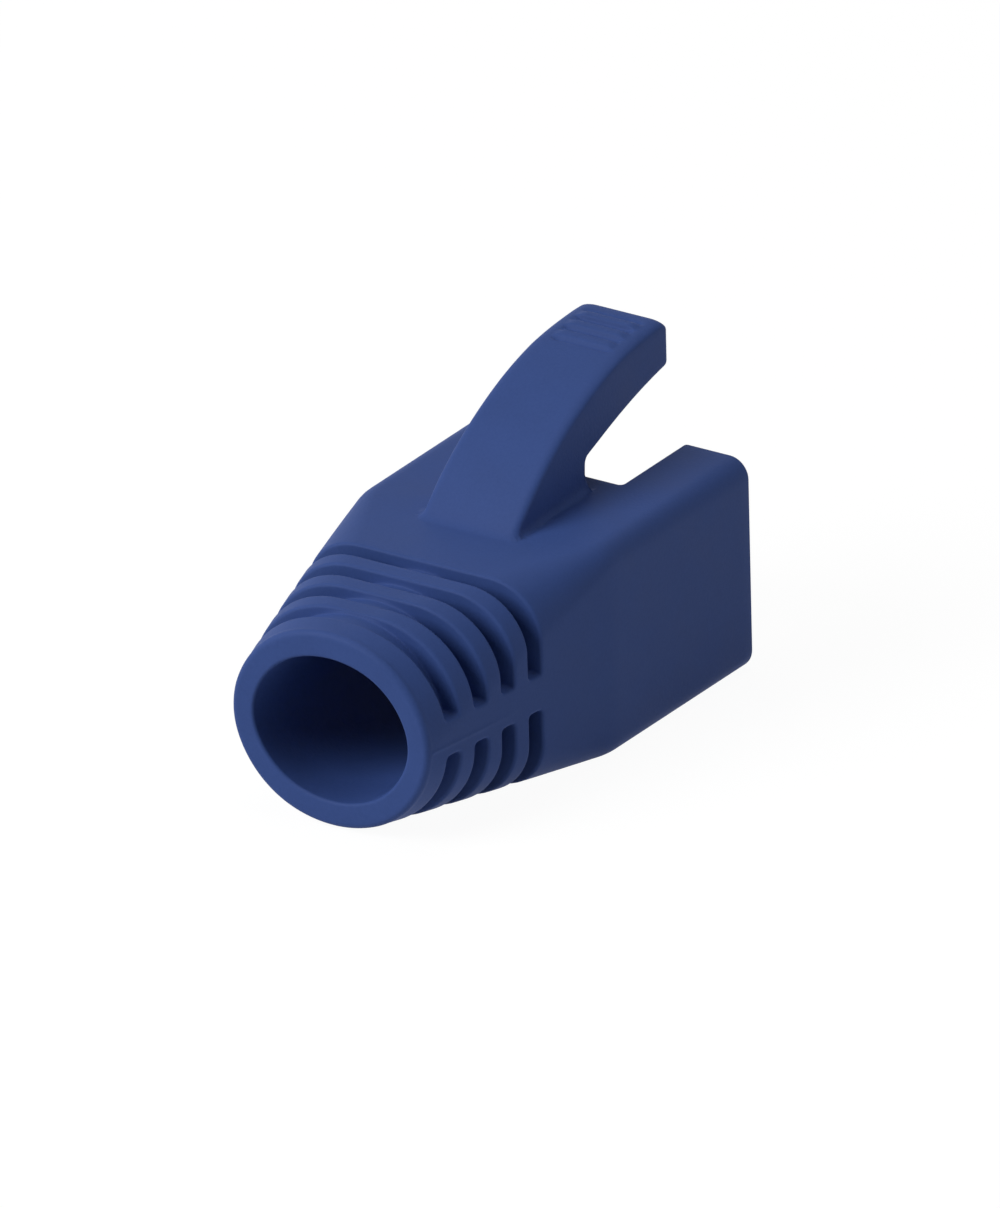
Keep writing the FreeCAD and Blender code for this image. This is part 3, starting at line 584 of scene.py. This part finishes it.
# The thumb bars: three low bars across the lever's upper face, moulded with it for grip. Each has
# steep sides, a gently rounded top and a fine hollow along its foot, and fades at its ends.
BARS = 3
BAR_HALF = 0.27
BAR_HEIGHT = 0.12
BAR_PITCH = 0.97
BAR_START = 1.6
BAR_INSET = 0.6
BAR_FADE = 0.5
HOLLOW_DEPTH = 0.13
HOLLOW_WIDTH = 0.1
along_crest = np.arctan2(lever_y - crest_y, lever_z - crest_z) * CREST_RADIUS
first_bar = -(BAR_START - TIP_CORNER)
number = np.clip(np.round((first_bar - along_crest) / BAR_PITCH), 0, BARS - 1)
beside = np.abs(along_crest - first_bar + BAR_PITCH * number)
dome = BAR_HEIGHT * np.sqrt(np.maximum(1 - (beside / BAR_HALF) ** 4, 0)) \
    - HOLLOW_DEPTH * np.exp(-((beside - BAR_HALF) / HOLLOW_WIDTH - 1) ** 2)
ends = np.clip((TIP_HALF - BAR_INSET - np.abs(lever_x)) / BAR_FADE, 0, 1)
raised = dome * ends * (2 - ends) * (fall <= edge_down)
lever_y = lever_y - down_y * raised
lever_z = lever_z - down_z * raised
lever_rows = grid(lever_x, lever_y, lever_z)[:, ::-1]
lever = new_piece("lever", both_sides(lever_rows), closed=False)

# The lever and the rest come out of the mould as one piece, so their skins are made one.
weld = boot.modifiers.new("one_moulding", "BOOLEAN")
weld.operation = "UNION"
weld.solver = "MANIFOLD"
weld.object = lever
bpy.context.view_layer.update()
whole = bpy.data.meshes.new_from_object(boot.evaluated_get(bpy.context.evaluated_depsgraph_get()))
boot.modifiers.clear()
boot.data = whole
whole.name = "strain_relief_boot_skin"
bpy.data.objects.remove(lever)
whole.shade_smooth()
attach(boot, "root")
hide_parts("strain_relief_boot")

# The boot's plastic: one deep blue all through, a touch uneven where the melt met, with the fine
# matt grain of a spark-eroded mould.
DEEP_BLUE = (0.031, 0.067, 0.226, 1)
PALE_BLUE = (0.050, 0.098, 0.318, 1)
CLOUD_SHARE, GRAIN_SHARE = 0.6, 0.4
SMOOTHEST = 0.56
ROUGHER = 0.12


class Link:
    """A node socket that can be used in sums, so that shader maths reads as an expression."""

    def __init__(self, tree, socket):
        self.tree = tree
        self.socket = socket

    def maths(self, operation, other):
        return node(self.tree, "ShaderNodeMath", {"operation": operation}, self, other)

    def __add__(self, other):
        return self.maths("ADD", other)

    def __mul__(self, other):
        return self.maths("MULTIPLY", other)

    __radd__ = __add__
    __rmul__ = __mul__


def node(tree, kind, settings, *values, output=0, **named):
    """Any node: its settings are made first, then its sockets get values or links."""
    made = tree.nodes.new(kind)
    for setting, value in settings.items():
        setattr(made, setting, value)
    for key, value in [*enumerate(values), *named.items()]:
        target = made.inputs[key if isinstance(key, int) else key.replace("_", " ")]
        if isinstance(value, Link):
            tree.links.new(value.socket, target)
        else:
            target.default_value = value
    return Link(tree, made.outputs[output]) if made.outputs else None


def new_material(name):
    """An empty material and its node tree."""
    material = bpy.data.materials.new(name)
    material.use_nodes = True
    material.node_tree.nodes.clear()
    return material, material.node_tree


plastic, tree = new_material("blue_soft_plastic")
place = node(tree, "ShaderNodeTexCoord", {}, output="Object")
cloud = node(tree, "ShaderNodeTexNoise", {}, Vector=place, Scale=420.0, Detail=3.0)
grain = node(tree, "ShaderNodeTexNoise", {}, Vector=place, Scale=7000.0, Detail=2.0)
tint = cloud * CLOUD_SHARE + grain * GRAIN_SHARE
colour = node(
    tree, "ShaderNodeMix", {"data_type": "RGBA"}, tint, output=2, A=DEEP_BLUE, B=PALE_BLUE)
relief = node(tree, "ShaderNodeBump", {}, Strength=0.5, Distance=0.000015, Height=grain)
surface = node(
    tree, "ShaderNodeBsdfPrincipled", {}, Base_Color=colour, Roughness=SMOOTHEST + ROUGHER * cloud,
    Specular_IOR_Level=0.18, Normal=relief)
node(tree, "ShaderNodeOutputMaterial", {}, Surface=surface)
whole.materials.clear()
whole.materials.append(plastic)

# The table: a large matt sheet of white paper. Its share of glow brings it just to white where the
# camera looks at it, and leaves the boot's shadow.
FLOOR_HALF = 1.5
PAPER = (0.82, 0.82, 0.82, 1)
WHITE = (1, 1, 1, 1)
GLOW = 1.08
GLOW_SHARE = 0.88


def looked_at(tree):
    """1 for rays from the camera or from mirrored or clear surfaces, and 0 for all others."""
    camera_ray, glossy_ray, transmission_ray = (
        node(tree, "ShaderNodeLightPath", {}, output=ray)
        for ray in ("Is Camera Ray", "Is Glossy Ray", "Is Transmission Ray"))
    return camera_ray + glossy_ray + transmission_ray


floor_mesh = bpy.data.meshes.new("table")
floor_mesh.from_pydata(
    [(x * FLOOR_HALF, y * FLOOR_HALF, 0) for x, y in ((-1, -1), (1, -1), (1, 1), (-1, 1))],
    [], [(0, 1, 2, 3)])
floor = bpy.data.objects.new("table", floor_mesh)
bpy.context.scene.collection.objects.link(floor)
white, tree = new_material("white_table")
paper = node(tree, "ShaderNodeBsdfDiffuse", {}, Color=PAPER)
glow = node(tree, "ShaderNodeEmission", {}, Color=WHITE, Strength=GLOW)
sheet = node(tree, "ShaderNodeMixShader", {}, GLOW_SHARE * looked_at(tree), paper, glow)
node(tree, "ShaderNodeOutputMaterial", {}, Surface=sheet)
floor_mesh.materials.append(white)

# The studio: white walls that are seen but give no light, and three square soft boxes, a strong
# one in front on the left and weaker ones overhead and on the right.
LAMP_SIZE = 0.3
LAMP_DISTANCE = 0.5
world = bpy.data.worlds.new("studio")
bpy.context.scene.world = world
world.use_nodes = True
tree = world.node_tree
tree.nodes.clear()
room = node(tree, "ShaderNodeBackground", {}, Color=WHITE, Strength=looked_at(tree))
node(tree, "ShaderNodeOutputWorld", {}, Surface=room)


def soft_box(name, toward, power):
    """A square lamp that faces the boot, at a set distance in a direction."""
    lamp = bpy.data.lights.new(name, "AREA")
    lamp.shape = "SQUARE"
    lamp.size = LAMP_SIZE
    lamp.energy = power
    holder = bpy.data.objects.new(name, lamp)
    direction = np.array(toward) / np.linalg.norm(toward)
    holder.location = direction * LAMP_DISTANCE
    holder.rotation_euler = Vector(direction).to_track_quat("Z", "Y").to_euler()
    bpy.context.scene.collection.objects.link(holder)


soft_box("key", toward=(-0.5, -0.78, 0.66), power=1.72)
soft_box("overhead", toward=(-0.1, 0.1, 1), power=0.52)
soft_box("right_side", toward=(0.9, 0.25, 0.3), power=0.29)

# The camera looks down on the mouth from the right. The photograph was taken from so far away
# that nothing in it grows smaller with distance. The view is shifted until one point of the boot
# falls on the pixel where the photograph has it.
IMAGE = (1000, 1208)
PIXELS_PER_METRE = 22226
STAND_OFF = 0.5
SEEN_POINT = np.array((0, -0.0005, 0.0052))
SEEN_PIXEL = (475.1, 630.2)
sideways, above_table, lean = (math.radians(angle) for angle in (33.6, 24.45, 1.225))
level = np.array((math.cos(sideways), math.sin(sideways), 0))
upright = np.array((
    -math.sin(sideways) * math.sin(above_table), math.cos(sideways) * math.sin(above_table),
    math.cos(above_table)))
back = np.cross(level, upright)
right = level * math.cos(lean) - upright * math.sin(lean)
up = upright * math.cos(lean) + level * math.sin(lean)
shift = right * (IMAGE[0] / 2 - SEEN_PIXEL[0]) + up * (SEEN_PIXEL[1] - IMAGE[1] / 2)
centre = SEEN_POINT + shift / PIXELS_PER_METRE
lens = bpy.data.cameras.new("camera")
lens.type = "ORTHO"
lens.sensor_fit = "HORIZONTAL"
lens.ortho_scale = IMAGE[0] / PIXELS_PER_METRE
camera = bpy.data.objects.new("camera", lens)
pose = np.eye(4)
pose[:3] = np.column_stack([right, up, back, centre + back * STAND_OFF])
camera.matrix_world = Matrix(pose)
bpy.context.scene.collection.objects.link(camera)
bpy.context.scene.camera = camera
bpy.context.scene.view_settings.view_transform = "Standard"
